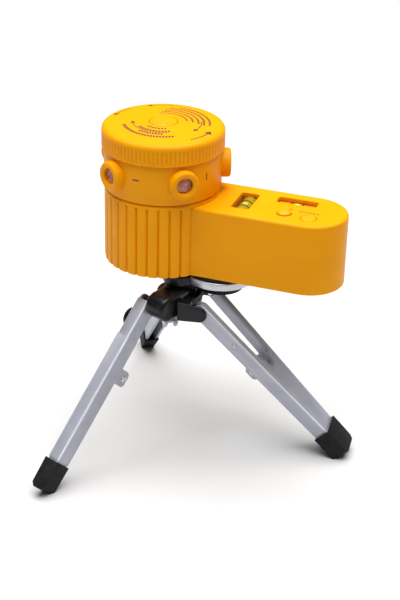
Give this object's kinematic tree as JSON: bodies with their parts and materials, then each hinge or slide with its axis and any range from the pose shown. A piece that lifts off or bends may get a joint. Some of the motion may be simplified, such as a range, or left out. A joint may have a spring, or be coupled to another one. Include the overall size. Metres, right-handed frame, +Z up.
{
  "type": "laser level",
  "caption": "Laser level with a turning ring of lens ports, two vials and two buttons, on a folding tripod with a ball head.",
  "frame": {"origin": "middle of the whole object's footprint, on the ground that its three feet stand on", "axes": "+Z up, along the turret's and the hub's axes; +X along the level's arm, away from the turning head; +Y completes the right-handed frame"},
  "size_m": [0.1592, 0.1836, 0.1814],
  "materials": {
    "yellow_plastic": "glossy moulded yellow",
    "orange_plastic": "moulded orange",
    "black_plastic": "satin black",
    "black_rubber": "matt black",
    "leg_aluminium": "satin anodised",
    "steel": "bright",
    "brass": "turned",
    "lens_plastic": "moulded fluted lens",
    "vial_liquid": "clear acrylic with tinted liquid",
    "circuit_board": "solder mask",
    "nylon": "natural nylon"
  },
  "bodies": {
    "hub": {"hinge_pin_back": "steel", "hinge_pin_left": "steel", "hinge_pin_right_a": "steel", "hinge_pin_right_b": "steel", "socket_ring": "black_plastic", "tripod_hub": "black_plastic"},
    "ball_cup": {"ball_seat": "nylon"},
    "platform": {"ball_stud": "steel", "body_shell": "yellow_plastic", "bottom_cover": "yellow_plastic", "button_cell_1": "steel", "button_cell_2": "steel", "button_cell_3": "steel", "circuit_board": "circuit_board", "contact_plate_minus": "brass", "contact_plate_plus": "brass", "cover_screw_1": "steel", "cover_screw_2": "steel", "cover_screw_3": "steel", "cover_screw_4": "steel", "cross_cradle": "orange_plastic", "cross_vial": "vial_liquid", "friction_washer": "nylon", "laser_module": "brass", "laser_mount": "black_plastic", "laser_switch": "black_plastic", "long_cradle": "orange_plastic", "long_vial": "vial_liquid", "mode_switch": "black_plastic", "mount_nut": "steel", "platform_pad": "black_rubber", "platform_plate": "leg_aluminium", "stud_screw": "steel", "tripod_bush": "brass"},
    "camera_screw": {"camera_screw": "steel", "thumb_wheel": "black_plastic"},
    "turret": {"cap_badge": "yellow_plastic", "cap_screw": "steel", "lens_ring": "yellow_plastic", "port_lens_1": "lens_plastic", "port_lens_2": "lens_plastic", "port_lens_3": "lens_plastic", "port_lens_4": "lens_plastic", "port_lens_5": "lens_plastic", "turret_cap": "yellow_plastic"},
    "laser_button": {"laser_button": "steel"},
    "mode_button": {"mode_button": "yellow_plastic"},
    "battery_door": {"battery_door": "yellow_plastic"},
    "clamp": {"clamp_knob": "black_plastic", "clamp_screw": "steel"},
    "leg_right": {"leg_right": "leg_aluminium", "foot_right": "black_rubber"},
    "leg_left": {"leg_left": "leg_aluminium", "foot_left": "black_rubber", "leg_cap_left": "black_plastic"},
    "leg_back": {"leg_back": "leg_aluminium", "foot_back": "black_rubber"}
  },
  "joints": [
    {"name": "head_pan", "type": "hinge", "parent": "hub", "child": "ball_cup", "pos_m": [-0.02116, 0.00287, 0.08876], "axis": [0, 0, 1], "range_deg": [-50, 125]},
    {"name": "head_tilt", "type": "hinge", "parent": "ball_cup", "child": "platform", "pos_m": [-0.02116, 0.00287, 0.08876], "axis": [-0.4472, 0.8944, 0], "range_deg": [-6, 6]},
    {"name": "camera_screw_turn", "type": "hinge", "parent": "platform", "child": "camera_screw", "pos_m": [-0.00117, 0.01287, 0.09326], "axis": [0, 0, 1], "continuous": true},
    {"name": "turret_turn", "type": "hinge", "parent": "platform", "child": "turret", "pos_m": [-0.03617, 0.01437, 0.15786], "axis": [0, 0, 1], "continuous": true},
    {"name": "laser_button_press", "type": "slide", "parent": "platform", "child": "laser_button", "axis": [0, 0, -1], "range_m": [0, 0.0008], "stiffness_N_per_m": 600, "springref_m": -0.0004},
    {"name": "mode_button_press", "type": "slide", "parent": "platform", "child": "mode_button", "axis": [0, 0, -1], "range_m": [0, 0.0008], "stiffness_N_per_m": 600, "springref_m": -0.0004},
    {"name": "battery_door_swing", "type": "hinge", "parent": "platform", "child": "battery_door", "pos_m": [0.04113, 0.01437, 0.10426], "axis": [0, -1, 0], "range_deg": [0, 100]},
    {"name": "clamp_turn", "type": "hinge", "parent": "hub", "child": "clamp", "pos_m": [-0.01545, 0.02099, 0.08386], "axis": [0.3007, 0.9537, 0], "continuous": true},
    {"name": "leg_right_fold", "type": "hinge", "parent": "hub", "child": "leg_right", "pos_m": [-0.00624, 0.00433, 0.08426], "axis": [-0.0976, 0.9952, 0], "range_deg": [0, 43]},
    {"name": "leg_left_fold", "type": "hinge", "parent": "hub", "child": "leg_left", "pos_m": [-0.03481, -0.01018, 0.08426], "axis": [0.9323, -0.3616, 0], "range_deg": [0, 43]},
    {"name": "leg_back_fold", "type": "hinge", "parent": "hub", "child": "leg_back", "pos_m": [-0.02657, 0.02003, 0.08426], "axis": [-0.8131, -0.5821, 0], "range_deg": [0, 43]}
  ]
}
